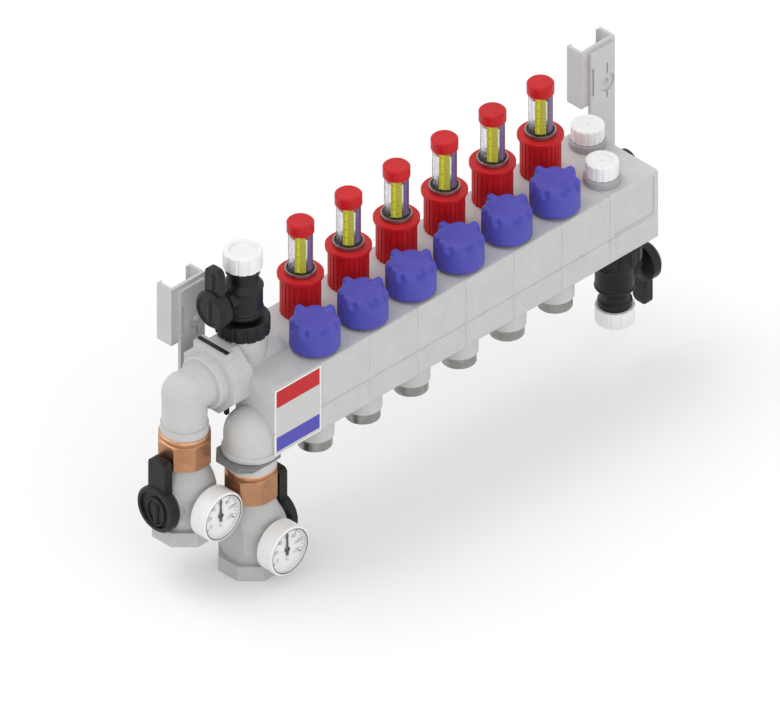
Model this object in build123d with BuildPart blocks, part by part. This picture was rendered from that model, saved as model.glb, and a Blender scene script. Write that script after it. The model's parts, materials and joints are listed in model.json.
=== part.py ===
"""Heating manifold of six circuits, supply and return in one modular polymer block, in millimetres.

The frame: X runs along the block towards its drain end, Y from the front to the wall, Z up. The origin
is the centre of the lower rim of the first return outlet.
"""
from build123d import *
import os

os.makedirs("parts", exist_ok=True)

# The row of modules.
circuits = 6
pitch = 50.0
return_place = 12.5
supply_place = 37.5
row_gap = 40.0
front_margin = 20.0
back_margin = 20.0
box_height = 60.6
edge_round = 2.0
seam_chamfer = 0.5
groove_height = 22.0
groove_depth = 1.0

# Waterways inside the block.
supply_height = 43.7
return_height = 20.0
water_radius = 11.0
insert_radius = 10.5

# Circuit outlets underneath.
outlet_drop = 26.0
stub_radius = 14.5
thread_length = 9.0
thread_radius = 13.2
nipple_bore = 9.0
spigot_radius = 11.4
spigot_length = 11.0

# Clearances.
push_fit = 0.05
running_fit = 0.06
free_gap = 0.4

# Flow meters on the supply row.
meter_neck = 11.0
meter_ring = 11.75
meter_ring_height = 3.0
collar_radius = 15.5
collar_height = 31.4
collar_flange = 17.5
collar_flange_height = 3.6
flute_count = 24
flute_radius = 1.0
flute_offset = 0.3
sight_radius = 9.2
sight_wall = 1.6
sight_length = 38.6
sight_seat = 6.0
sight_cap_radius = 10.35
sight_cap_height = 9.7
float_seat = 0.3
float_rod = 1.0
float_travel = 18.0

# Hand caps over the return valve inserts.
hand_cap_radius = 19.0
hand_cap_height = 24.0
hand_cap_lift = 2.4
hand_cap_wall = 3.4
insert_neck = 15.0
insert_neck_height = 12.0
lug_count = 4
lug_width = 6.0
lug_rise = 3.6

# Vents on the drain-end module.
vent_radius = 14.0
vent_base_height = 6.4
vent_stem = 7.0
vent_cap_radius = 12.7
vent_cap_height = 12.0
vent_places = ((-38.5, 0.0), (-13.5, 40.0))

# Fill and drain valves.
service_stub = 18.5
service_nut_radius = 20.5
service_nut_height = 13.0
service_body_radius = 15.0
service_body_length = 44.0
service_neck_radius = 11.75
service_ball = 8.5
service_bore = 5.0
service_axis = 33.0
service_stem = 5.0
hose_cap_radius = 14.9
hose_cap_height = 14.0
wheel_radius = 15.5
wheel_thick = 12.0
paddle_reach = 36.0
paddle_width = 15.0
paddle_thick = 6.0

# The end with the connections.
supply_line_y = 31.0
supply_line_height = 55.2
supply_riser_x = 18.5
riser_height = 83.0
line_radius = 18.5
elbow_radius = 17.0
elbow_x = -42.2
elbow_ball = 17.3
elbow_collar = 21.0
elbow_collar_length = 8.0
flange_across = 52.0
flange_thick = 10.0
flange_x = -7.0
return_leg_x = -2.0
return_leg_y = 2.0
leg_radius = 20.5
leg_dome_height = 15.0
leg_rim = 22.0
leg_rim_height = 4.0
leg_bottom = -0.2
leg_socket = 14.0
leg_socket_depth = 12.0
adaptor_neck = 15.5
adaptor_collar = 19.0
clip_thick = 4.6
clip_slot_width = 3.2
clip_wire = 2.8
clip_half_width = 15.0
clip_rise = 28.3
clip_drop = 27.0
supply_nut_low = -3.0
return_nut_low = -39.0

# Union nuts and ball valves.
nut_across = 39.0
nut_bead = 19.1
nut_height = 25.0
nut_bore = 17.4
valve_length = 64.0
valve_neck_radius = 16.5
valve_body_half = 20.0
valve_barrel = 23.5
valve_base_half = 24.0
valve_base_height = 12.4
valve_thread = 15.0
valve_thread_depth = 14.0
valve_ball = 16.0
valve_bore = 12.0
valve_axis_drop = 32.0
valve_stem = 5.5
lever_disc = 19.0
lever_thick = 10.0
lever_boss = 17.0
lever_dish = 2.0
lever_reach = 43.0
lever_width = 17.0

# Thermometers.
gauge_radius = 20.3
gauge_thick = 16.5
gauge_stand_off = 41.0
gauge_drop = 1.8
gauge_stem = 6.0
gauge_boss = 9.0
gauge_wall = 1.8
gauge_recess = 2.4
pointer_length = 15.0

# Wall brackets.
bracket_width = 25.0
bracket_top = 113.0
bracket_thick = 3.0
bracket_stand_off = 6.0
bracket_bottom = 2.0
bracket_left_x = 1.5
bracket_right_x = 428.5
foot_height = 16.0
foot_start = 35.0
foot_end = 59.0
rail_clip_width = 35.0
rail_clip_depth = 15.0
rail_clip_height = 50.0
rail_clip_top = 116.0
rail_clip_wall = 2.6
rail_hook = 5.0
screw_hole = 2.75
screw_place = 80.5
screw_offset = 4.5
screw_pocket = 7.5
screw_pocket_depth = 1.5
slit_width = 1.4
slit_above = 10.0
slit_below = 6.0
side_slot_x = -10.2
side_slot_width = 2.4
side_slot_low = 75.0
side_slot_height = 24.5

# The plug in the drain-end module.
plug_radius = 9.0
plug_length = 10.0
plug_drop = 14.6
plug_edge = 1.5

# Places worked out from the sizes above.
box_left = -return_place - pitch
box_right = -return_place + (circuits + 1) * pitch
box_front = -front_margin
box_back = row_gap + back_margin
box_depth = box_back - box_front
box_bottom = outlet_drop
box_top = box_bottom + box_height
supply_z = box_bottom + supply_height
return_z = box_bottom + return_height
stub_bottom = thread_length
supply_shift = supply_place - return_place
line_z = box_bottom + supply_line_height
riser_x = box_left + supply_riser_x
riser_top = box_bottom + riser_height
supply_elbow_x = box_left + elbow_x
return_x = box_left + return_leg_x
return_y = return_leg_y
leg_low = box_bottom + leg_bottom
gauge_back = gauge_stand_off - gauge_thick


def upright(x, y, z=0.0):
    """The plane whose local x is X and whose local y is Z, through a point: for turned profiles."""
    return Plane(origin=(x, y, z), x_dir=(1, 0, 0), z_dir=(0, -1, 0))


def across(x, y=0.0, z=0.0):
    """The plane whose normal is X: local x is Y and local y is Z."""
    return Plane(origin=(x, y, z), x_dir=(0, 1, 0), z_dir=(1, 0, 0))


def turn(points, x, y, mode=Mode.ADD):
    """Turns a closed outline of (radius, height) points about the vertical line through x, y."""
    with BuildSketch(upright(x, y)) as outline:
        with BuildLine():
            Polyline(*points, close=True)
        make_face()
    revolve(outline.sketch, axis=Axis((x, y, 0), (0, 0, 1)), mode=mode)


def turn_about(points, centre, direction, side, mode=Mode.ADD):
    """Turns a closed outline of (radius, distance) points about the line from centre along direction."""
    normal = Vector(*side).cross(Vector(*direction))
    with BuildSketch(Plane(origin=centre, x_dir=side, z_dir=normal)) as outline:
        with BuildLine():
            Polyline(*points, close=True)
        make_face()
    revolve(outline.sketch, axis=Axis(centre, direction), mode=mode)


def finish(builder, name):
    """Labels a finished piece and writes it."""
    builder.part.label = name
    export_step(builder.part, f"parts/{name}.step")


def block(length, x, y_low, y_high):
    """One rounded block of the row, from x over its length, with chamfered ends."""
    middle = ((y_low + y_high) / 2, (box_bottom + box_top) / 2)
    with BuildSketch(across(x)) as section:
        with Locations(middle):
            RectangleRounded(y_high - y_low, box_height, edge_round)
    extrude(section.sketch, amount=length)


def groove(length, x):
    """The moulded line along the front of the block."""
    height = box_bottom + groove_height
    with BuildSketch(across(x)) as notch:
        with BuildLine():
            Polyline(
                (box_front - 0.1, height - groove_depth),
                (box_front + groove_depth, height),
                (box_front - 0.1, height + groove_depth),
                close=True,
            )
        make_face()
    extrude(notch.sketch, amount=length, mode=Mode.SUBTRACT)


def waterway(length, x, y, z):
    """A bore along the row."""
    with BuildSketch(across(x, y, z)) as bore:
        Circle(water_radius)
    extrude(bore.sketch, amount=length, mode=Mode.SUBTRACT)


def port(x, y, level):
    """The stub and bores of one outlet, with the socket of the insert above it."""
    turn(((0, box_bottom), (0, stub_bottom), (stub_radius, stub_bottom), (stub_radius, box_bottom)), x, y)
    turn(((0, level), (0, stub_bottom - 1), (spigot_radius + push_fit, stub_bottom - 1),
          (spigot_radius + push_fit, stub_bottom + spigot_length),
          (nipple_bore, stub_bottom + spigot_length), (nipple_bore, level)), x, y, Mode.SUBTRACT)
    turn(((0, level), (insert_radius + push_fit, level), (insert_radius + push_fit, box_top + 1),
          (0, box_top + 1)), x, y, Mode.SUBTRACT)


def end_edges(part, x):
    """The outline of a block at one of its ends."""
    return part.faces().filter_by(Axis.X).filter_by_position(Axis.X, x - 0.01, x + 0.01).sort_by(
        SortBy.AREA)[-1].outer_wire().edges()


# The six circuit modules.
for circuit in range(circuits):
    start = -return_place + circuit * pitch
    with BuildPart() as module:
        block(pitch, start, box_front, box_back)
        chamfer(end_edges(module.part, start) + end_edges(module.part, start + pitch), seam_chamfer)
        groove(pitch, start)
        port(start + return_place, 0, return_z)
        port(start + supply_place, row_gap, supply_z)
        waterway(pitch, start, 0, return_z)
        waterway(pitch, start, row_gap, supply_z)
    finish(module, f"circuit_module_{circuit + 1}")

# The module at the drain end, blind, with a name panel on its front.
panel_border = 4.0
panel_depth = 0.8
with BuildPart() as drain_module:
    block(pitch, box_right - pitch, box_front, box_back)
    chamfer(end_edges(drain_module.part, box_right - pitch), seam_chamfer)
    groove(pitch, box_right - pitch)
    waterway(pitch - 12, box_right - pitch, 0, return_z)
    waterway(pitch - 12, box_right - pitch, row_gap, supply_z)
    panel_low = box_bottom + groove_height + 2 * groove_depth
    with BuildSketch(upright(box_right - pitch / 2, box_front, (panel_low + box_top - 3) / 2)) as panel:
        RectangleRounded(pitch - 2 * panel_border, box_top - 3 - panel_low, 1.5)
    extrude(panel.sketch, amount=-panel_depth, mode=Mode.SUBTRACT)
    for vent_x, vent_y in vent_places:
        level = return_z if vent_y == 0 else supply_z
        turn(((0, level), (vent_stem + push_fit, level), (vent_stem + push_fit, box_top + 1),
              (0, box_top + 1)), box_right + vent_x, vent_y, Mode.SUBTRACT)
    drain_x = box_right - pitch / 2
    turn(((0, return_z), (insert_radius + push_fit, return_z), (insert_radius + push_fit, box_bottom - 1),
          (0, box_bottom - 1)), drain_x, 0, Mode.SUBTRACT)
finish(drain_module, "drain_end_module")

# The module at the connection end: front half block, high supply line with its riser, domed return leg.
with BuildPart() as inlet_module:
    half_back = row_gap / 2
    block(pitch, box_left, box_front, half_back)
    rear_length = 16.0
    with BuildSketch(across(-return_place - rear_length)) as rear:
        with Locations(((half_back - 4 + box_back) / 2, (box_bottom + box_top) / 2)):
            Rectangle(box_back - half_back + 4, box_height)
    extrude(rear.sketch, amount=rear_length)
    groove(pitch, box_left)
    with BuildSketch(across(box_left + flange_x, supply_line_y, line_z)) as flange:
        RegularPolygon(flange_across / 2, 8, major_radius=False, rotation=22.5)
    extrude(flange.sketch, amount=flange_thick)
    with BuildSketch(across(box_left + flange_x, supply_line_y, line_z)) as line:
        Circle(line_radius)
    extrude(line.sketch, amount=-return_place - 4 - box_left - flange_x)
    turn(((0, line_z), (service_stub, line_z), (service_stub, riser_top), (0, riser_top)),
         riser_x, supply_line_y)
    turn(((0, leg_low), (leg_radius, leg_low), (leg_radius, box_bottom + leg_dome_height),
          (0, box_bottom + leg_dome_height)), return_x, return_y)
    with Locations((return_x, return_y, box_bottom + leg_dome_height)):
        Sphere(leg_radius, arc_size1=0, align=(Align.CENTER, Align.CENTER, Align.MIN))
    turn(((0, leg_low), (leg_rim, leg_low), (leg_rim, leg_low + leg_rim_height - 1),
          (leg_rim - 1, leg_low + leg_rim_height), (0, leg_low + leg_rim_height)), return_x, return_y)
    waterway(pitch + 2, box_left + 6, 0, return_z)
    waterway(rear_length + 8, -return_place - rear_length - 8, row_gap, supply_z)
    with BuildSketch(across(box_left + flange_x, supply_line_y, line_z)) as line_bore:
        Circle(water_radius)
    extrude(line_bore.sketch, amount=pitch - rear_length + 8 - flange_x, mode=Mode.SUBTRACT)
    turn(((0, line_z), (insert_radius + push_fit, line_z), (insert_radius + push_fit, riser_top + 1),
          (0, riser_top + 1)), riser_x, supply_line_y, Mode.SUBTRACT)
    turn(((0, return_z), (0, leg_low - 1), (leg_socket + push_fit, leg_low - 1),
          (leg_socket + push_fit, leg_low + leg_socket_depth), (water_radius, leg_low + leg_socket_depth),
          (water_radius, return_z)), return_x, return_y, Mode.SUBTRACT)
    with BuildSketch(across(return_x, return_y, return_z)) as return_bore:
        Circle(water_radius)
    extrude(return_bore.sketch, amount=12, mode=Mode.SUBTRACT)
finish(inlet_module, "inlet_end_module")

# Threaded nipples of the outlets, two to a circuit.
with BuildPart() as nipples:
    for x_shift, y in ((0, 0), (supply_shift, row_gap)):
        for circuit in range(circuits):
            turn(((nipple_bore, 0), (thread_radius, 0), (thread_radius, thread_length),
                  (spigot_radius, thread_length), (spigot_radius, thread_length + spigot_length - 0.5),
                  (nipple_bore, thread_length + spigot_length - 0.5)), x_shift + circuit * pitch, y)
finish(nipples, "outlet_nipples")

# Flow meters: the fixed bodies, the clear tubes and their caps, six solids each.
ring_low = box_top + free_gap + collar_height + collar_flange_height + free_gap
tube_low = ring_low + meter_ring_height - sight_seat
tube_high = ring_low + meter_ring_height + sight_length - sight_seat
with BuildPart() as meter_bodies:
    for circuit in range(circuits):
        turn(((0, supply_z + water_radius - 3), (insert_radius, supply_z + water_radius - 3),
              (insert_radius, box_top), (meter_neck, box_top), (meter_neck, ring_low), (meter_ring, ring_low),
              (meter_ring, ring_low + meter_ring_height), (sight_radius + push_fit, ring_low + meter_ring_height),
              (sight_radius + push_fit, tube_low), (4, tube_low), (4, tube_low - 8), (0, tube_low - 8)),
             supply_shift + circuit * pitch, row_gap)
finish(meter_bodies, "flow_meter_bodies")

with BuildPart() as sight_tubes:
    for circuit in range(circuits):
        turn(((sight_radius - sight_wall, tube_low), (sight_radius, tube_low), (sight_radius, tube_high),
              (sight_radius - sight_wall, tube_high)), supply_shift + circuit * pitch, row_gap)
finish(sight_tubes, "sight_tubes")

with BuildPart() as sight_caps:
    for circuit in range(circuits):
        plug = sight_radius - sight_wall - push_fit
        turn(((0, tube_high - 4), (plug, tube_high - 4), (plug, tube_high), (sight_cap_radius - 0.6, tube_high),
              (sight_cap_radius, tube_high + 0.6), (sight_cap_radius, tube_high + sight_cap_height - 1.2),
              (sight_cap_radius - 1.2, tube_high + sight_cap_height), (0, tube_high + sight_cap_height)),
             supply_shift + circuit * pitch, row_gap)
finish(sight_caps, "sight_tube_caps")

# The turning collars and the floats of the flow meters.
collar_low = box_top + free_gap
collar_shoulder = collar_low + collar_height
for circuit in range(circuits):
    meter_x = supply_shift + circuit * pitch
    with BuildPart() as collar:
        bore = meter_neck + running_fit
        turn(((bore, collar_low), (collar_radius, collar_low), (collar_radius, collar_shoulder),
              (collar_flange - 0.6, collar_shoulder), (collar_flange, collar_shoulder + 0.6),
              (collar_flange, collar_shoulder + collar_flange_height - 0.6),
              (collar_flange - 0.6, collar_shoulder + collar_flange_height),
              (bore, collar_shoulder + collar_flange_height)), meter_x, row_gap)
        with BuildSketch(Plane(origin=(meter_x, row_gap, collar_low))) as flutes:
            with PolarLocations(collar_radius + flute_offset, flute_count):
                Circle(flute_radius)
        extrude(flutes.sketch, amount=collar_height, mode=Mode.SUBTRACT)
    finish(collar, f"flow_collar_{circuit + 1}")
    with BuildPart() as meter_float:
        float_low = tube_low + float_seat
        float_disc = sight_radius - sight_wall - float_seat
        turn(((0, float_low), (float_rod, float_low), (float_rod, float_low + 6),
              (float_disc, float_low + 6), (float_disc, float_low + 8), (float_rod, float_low + 8),
              (float_rod, tube_high - 4 - float_travel - 1), (0, tube_high - 4 - float_travel - 1)),
             meter_x, row_gap)
    finish(meter_float, f"flow_float_{circuit + 1}")

# Return valve inserts and the hand caps screwed over them.
cap_low = box_top + hand_cap_lift
with BuildPart() as valve_inserts:
    for circuit in range(circuits):
        turn(((0, return_z + water_radius - 3), (insert_radius, return_z + water_radius - 3),
              (insert_radius, box_top), (insert_neck, box_top), (insert_neck, box_top + insert_neck_height),
              (6, box_top + insert_neck_height), (6, box_top + insert_neck_height + 1.5),
              (2, box_top + insert_neck_height + 1.5), (2, box_top + insert_neck_height + 3.5),
              (0, box_top + insert_neck_height + 3.5)), circuit * pitch, 0)
finish(valve_inserts, "valve_inserts")

cap_top = cap_low + hand_cap_height
for circuit in range(circuits):
    cap_x = circuit * pitch
    with BuildPart() as hand_cap:
        with BuildSketch(upright(cap_x, 0)) as shell:
            with BuildLine():
                Polyline((0, cap_low), (hand_cap_radius - 0.6, cap_low), (hand_cap_radius, cap_low + 0.6),
                         (hand_cap_radius - 0.3, cap_top - 6))
                TangentArc((hand_cap_radius - 0.3, cap_top - 6), (hand_cap_radius - 5, cap_top - 1.8),
                           tangent=(-0.02, 1))
                Polyline((hand_cap_radius - 5, cap_top - 1.8), (0, cap_top - 1), (0, cap_low))
            make_face()
        revolve(shell.sketch, axis=Axis((cap_x, 0, 0), (0, 0, 1)))
        with BuildSketch(Plane(origin=(cap_x, 0, cap_top - 8))) as lugs:
            with PolarLocations(hand_cap_radius - 6, lug_count):
                SlotOverall(11, lug_width)
        extrude(lugs.sketch, amount=8 + lug_rise - 1.8, taper=6)
        inner = insert_neck + running_fit
        turn(((0, cap_low - 1), (inner, cap_low - 1), (inner, cap_top - hand_cap_wall - 2.4),
              (0, cap_top - hand_cap_wall - 2.4)), cap_x, 0, Mode.SUBTRACT)
    finish(hand_cap, f"hand_cap_{circuit + 1}")

# Vents: two bodies and two knurled caps.
with BuildPart() as vent_bodies:
    for vent_x, vent_y in vent_places:
        level = return_z if vent_y == 0 else supply_z
        seat = box_top + vent_base_height
        turn(((0, level + 8), (vent_stem, level + 8), (vent_stem, box_top), (vent_radius, box_top),
              (vent_radius, seat - 1), (vent_radius - 1, seat), (vent_stem, seat), (vent_stem, seat + 7),
              (0, seat + 7)), box_right + vent_x, vent_y)
finish(vent_bodies, "vent_bodies")

for number, (vent_x, vent_y) in enumerate(vent_places, 1):
    with BuildPart() as vent_cap:
        low = box_top + vent_base_height + free_gap
        high = low + vent_cap_height
        bore = vent_stem + running_fit
        turn(((bore, low), (vent_cap_radius, low), (vent_cap_radius, high - 1), (vent_cap_radius - 1, high),
              (8, high), (7.4, high - 0.8), (1.2, high - 0.8), (1.2, high - 0.3), (0, high - 0.3),
              (0, low + 8), (bore, low + 8)), box_right + vent_x, vent_y)
        with BuildSketch(Plane(origin=(box_right + vent_x, vent_y, low))) as grips:
            with PolarLocations(vent_cap_radius + 0.6, 16):
                Circle(1.1)
        extrude(grips.sketch, amount=vent_cap_height, mode=Mode.SUBTRACT)
    finish(vent_cap, f"vent_cap_{number}")


# The fill valve stands on the riser; the drain valve is the same valve hung from the drain-end module.
def service_valve(name, x, y, seat, up, side):
    """A ball valve on the point x, y, seat, built along up (+1 or -1), its handle out along side."""
    def along(height):
        return seat + up * height

    neck_low = service_nut_height
    barrel_high = neck_low + service_body_length
    axis_z = along(service_axis)
    body_top = barrel_high - 12
    cap_seat = barrel_high
    with BuildPart() as body:
        turn(((service_bore, along(-10)), (insert_radius, along(-10)), (insert_radius, along(0)),
              (12, along(0)), (12, along(neck_low + free_gap)),
              (service_body_radius, along(neck_low + 2)), (service_body_radius, along(body_top - 4)),
              (service_neck_radius, along(body_top)), (service_neck_radius, along(body_top + 6)),
              (service_neck_radius + 1.2, along(body_top + 7)), (service_neck_radius + 1.2, along(cap_seat)),
              (9, along(cap_seat)), (9, along(cap_seat + 9)), (service_bore, along(cap_seat + 9))), x, y)
        turn_about(((0, 8), (9, 8), (9, service_body_radius + 4), (0, service_body_radius + 4)),
                   (x, y, axis_z), (side, 0, 0), (0, 1, 0))
        with Locations((x, y, axis_z)):
            Sphere(service_ball + running_fit, mode=Mode.SUBTRACT)
        turn_about(((0, 0), (service_stem + running_fit, 0), (service_stem + running_fit,
                   service_body_radius + 5), (0, service_body_radius + 5)),
                   (x, y, axis_z), (side, 0, 0), (0, 1, 0), Mode.SUBTRACT)
    finish(body, f"{name}_valve_body")
    with BuildPart() as ball:
        with Locations((x, y, axis_z)):
            Sphere(service_ball)
        turn_about(((0, 0), (service_stem, 0), (service_stem, service_body_radius + 8),
                    (0, service_body_radius + 8)), (x, y, axis_z), (side, 0, 0), (0, 1, 0))
        with BuildSketch(Plane(origin=(x, y, axis_z - 12))) as bore:
            Circle(service_bore)
        extrude(bore.sketch, amount=24, mode=Mode.SUBTRACT)
    finish(ball, f"{name}_valve_ball")
    hub = x + side * (service_body_radius + 8)
    with BuildPart() as handle:
        turn_about(((0, 0), (8, 0), (wheel_radius, 3), (wheel_radius, wheel_thick - 2),
                    (wheel_radius - 2, wheel_thick), (0, wheel_thick)), (hub, y, axis_z), (side, 0, 0),
                   (0, 1, 0))
        with BuildSketch(across(hub + side * 3, y, axis_z)) as paddle:
            with Locations((0, up * paddle_reach / 2)):
                RectangleRounded(paddle_width, paddle_reach, 5)
        extrude(paddle.sketch, amount=side * paddle_thick)
    finish(handle, f"{name}_valve_handle")
    with BuildPart() as cap:
        low = cap_seat + free_gap
        high = low + hose_cap_height
        turn(((9 + running_fit, along(low)), (hose_cap_radius, along(low)), (hose_cap_radius, along(high - 1)),
              (hose_cap_radius - 1, along(high)), (10.5, along(high)), (9.8, along(high - 1.6)),
              (0, along(high - 1.6)), (0, along(low + 10)), (9 + running_fit, along(low + 10))), x, y)
        with BuildSketch(Plane(origin=(x, y, min(along(low), along(high))))) as grips:
            with PolarLocations(hose_cap_radius + 0.7, 12):
                Circle(1.3)
        extrude(grips.sketch, amount=hose_cap_height, mode=Mode.SUBTRACT)
    finish(cap, f"{name}_valve_cap")


def service_nut(x, y, low, high):
    """The fluted flange nut that clamps a service valve onto its stub."""
    turn(((12.2, low), (service_nut_radius, low), (service_nut_radius, high - 1.5),
          (service_nut_radius - 1.5, high), (12.2, high)), x, y)
    with BuildSketch(Plane(origin=(x, y, low))) as flutes:
        with PolarLocations(service_nut_radius + 1, 14):
            Circle(2)
    extrude(flutes.sketch, amount=high - low, mode=Mode.SUBTRACT)


service_valve("fill", riser_x, supply_line_y, riser_top, 1, -1)
service_valve("drain", drain_x, 0, box_bottom, -1, 1)
with BuildPart() as service_nuts:
    service_nut(riser_x, supply_line_y, riser_top, riser_top + service_nut_height)
    service_nut(drain_x, 0, box_bottom - service_nut_height, box_bottom)
finish(service_nuts, "service_valve_nuts")

# The supply elbow: its half of the octagonal flange with the clip housing, the bend and the nut's collar.
elbow_face = box_left + flange_x
supply_nut_z = box_bottom + supply_nut_low
supply_nut_top = supply_nut_z + nut_height
clip_x = elbow_face - flange_thick / 2 - clip_slot_width / 2
elbow_corner = (supply_elbow_x, supply_line_y, line_z)
elbow_reach = elbow_face - supply_elbow_x
collar_end = elbow_reach - flange_thick
collar_start = collar_end - elbow_collar_length
with BuildPart() as elbow:
    turn(((0, supply_nut_z), (elbow_radius, supply_nut_z), (elbow_radius, line_z), (0, line_z)),
         supply_elbow_x, supply_line_y)
    with Locations(elbow_corner):
        Sphere(elbow_ball)
    turn_about(((0, 0), (elbow_radius, 0), (elbow_radius, collar_start), (elbow_collar - 1, collar_start),
                (elbow_collar, collar_start + 1), (elbow_collar, collar_end), (0, collar_end)),
               elbow_corner, (1, 0, 0), (0, 0, 1))
    with BuildSketch(across(elbow_face, supply_line_y, line_z)) as half_flange:
        RegularPolygon(flange_across / 2, 8, major_radius=False, rotation=22.5)
        with Locations((0, (clip_rise - 1) / 2)):
            Rectangle(2 * clip_half_width + 2, clip_rise - 1)
    extrude(half_flange.sketch, amount=-flange_thick)
    turn(((0, supply_nut_top + 8), (elbow_radius + 1, supply_nut_top + 8),
          (elbow_radius + 1, supply_nut_top + free_gap), (0, supply_nut_top + free_gap)),
         supply_elbow_x, supply_line_y)
    turn(((elbow_radius - 0.5, supply_nut_z - 0.1), (elbow_radius + 1, supply_nut_z - 0.1),
          (elbow_radius + 1, supply_nut_top + free_gap), (elbow_radius - 0.5, supply_nut_top + free_gap)),
         supply_elbow_x, supply_line_y, Mode.SUBTRACT)
    turn_about(((0, 0), (water_radius, 0), (water_radius, elbow_reach + 1), (0, elbow_reach + 1)),
               elbow_corner, (1, 0, 0), (0, 0, 1), Mode.SUBTRACT)
    turn(((0, supply_nut_z - 1), (water_radius, supply_nut_z - 1), (water_radius, line_z), (0, line_z)),
         supply_elbow_x, supply_line_y, Mode.SUBTRACT)
    with Locations(elbow_corner):
        Sphere(water_radius + elbow_ball - elbow_radius, mode=Mode.SUBTRACT)
    with BuildSketch(across(clip_x, supply_line_y, line_z)) as clip_slot:
        slot_half = clip_half_width + push_fit
        with BuildLine():
            Polyline((-slot_half, -clip_drop), (-slot_half, clip_rise), (slot_half, clip_rise),
                     (slot_half, -clip_drop), (slot_half - clip_wire - 2 * push_fit, -clip_drop),
                     (slot_half - clip_wire - 2 * push_fit, clip_rise - clip_wire - push_fit),
                     (clip_wire + 2 * push_fit - slot_half, clip_rise - clip_wire - push_fit),
                     (clip_wire + 2 * push_fit - slot_half, -clip_drop), close=True)
        make_face()
    extrude(clip_slot.sketch, amount=clip_slot_width, mode=Mode.SUBTRACT)
finish(elbow, "supply_elbow")

with BuildPart() as supply_clip:
    with BuildSketch(across(clip_x + push_fit, supply_line_y, line_z)) as clip_shape:
        Rectangle(2 * clip_half_width, 2 * clip_rise)
        with Locations((0, -clip_wire)):
            Rectangle(2 * (clip_half_width - clip_wire), 2 * clip_rise, mode=Mode.SUBTRACT)
        with Locations((0, -clip_drop - clip_rise)):
            Rectangle(4 * clip_half_width, 2 * clip_rise, mode=Mode.SUBTRACT)
    extrude(clip_shape.sketch, amount=clip_slot_width - 2 * push_fit)
finish(supply_clip, "supply_clip")

# The return adaptor: plugged up into the leg, held by its fork clip, with the collar of its union nut.
return_nut_z = box_bottom + return_nut_low
return_nut_top = return_nut_z + nut_height
with BuildPart() as adaptor:
    fork_low = leg_low - clip_thick - free_gap
    turn(((water_radius, return_nut_z), (elbow_radius - 0.5, return_nut_z),
          (elbow_radius - 0.5, return_nut_top + free_gap), (adaptor_collar, return_nut_top + free_gap),
          (adaptor_collar, fork_low - free_gap), (adaptor_neck, fork_low - free_gap), (adaptor_neck, leg_low),
          (leg_socket, leg_low), (leg_socket, leg_low + leg_socket_depth - 0.5),
          (water_radius, leg_low + leg_socket_depth - 0.5)), return_x, return_y)
finish(adaptor, "return_adaptor")

with BuildPart() as return_clip:
    with BuildSketch(Plane(origin=(return_x, return_y, fork_low))) as fork:
        with BuildLine():
            Polyline((-25.5, -11), (-17, -19), (12, -19), (12, -adaptor_neck - push_fit), (0, -adaptor_neck
                     - push_fit), (0, adaptor_neck + push_fit), (12, adaptor_neck + push_fit), (12, 19),
                     (-17, 19), (-25.5, 11), close=True)
        make_face()
        Circle(adaptor_neck + push_fit, mode=Mode.SUBTRACT)
    extrude(fork.sketch, amount=clip_thick)
finish(return_clip, "return_clip")



# Union nuts: octagons with turned ends and a round bead at the top.
def union_nut(x, y, low):
    """One octagonal nut about x, y, its corners turned off at both ends and a bead round its mouth."""
    top = low + nut_height
    corner = nut_across / 2 + 2
    with BuildPart() as nut:
        with BuildSketch(Plane(origin=(x, y, low))) as octagon:
            RegularPolygon(nut_across / 2, 8, major_radius=False, rotation=22.5)
        extrude(octagon.sketch, amount=nut_height)
        turn(((nut_bore, low), (corner - 2, low), (corner, low + 1.2), (corner, top - 5.6),
              (nut_bead + 0.6, top - 4.2), (nut_bead - 0.7, top - 3.4), (nut_bead, top - 2.6),
              (nut_bead, top - 1.2), (nut_bead - 0.5, top - 0.4), (nut_bead - 1.2, top), (nut_bore, top)),
             x, y, Mode.INTERSECT)
    return nut.part


with BuildPart() as union_nuts:
    add(union_nut(supply_elbow_x, supply_line_y, supply_nut_z))
    add(union_nut(return_x, return_y, return_nut_z))
finish(union_nuts, "union_nuts")


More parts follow.
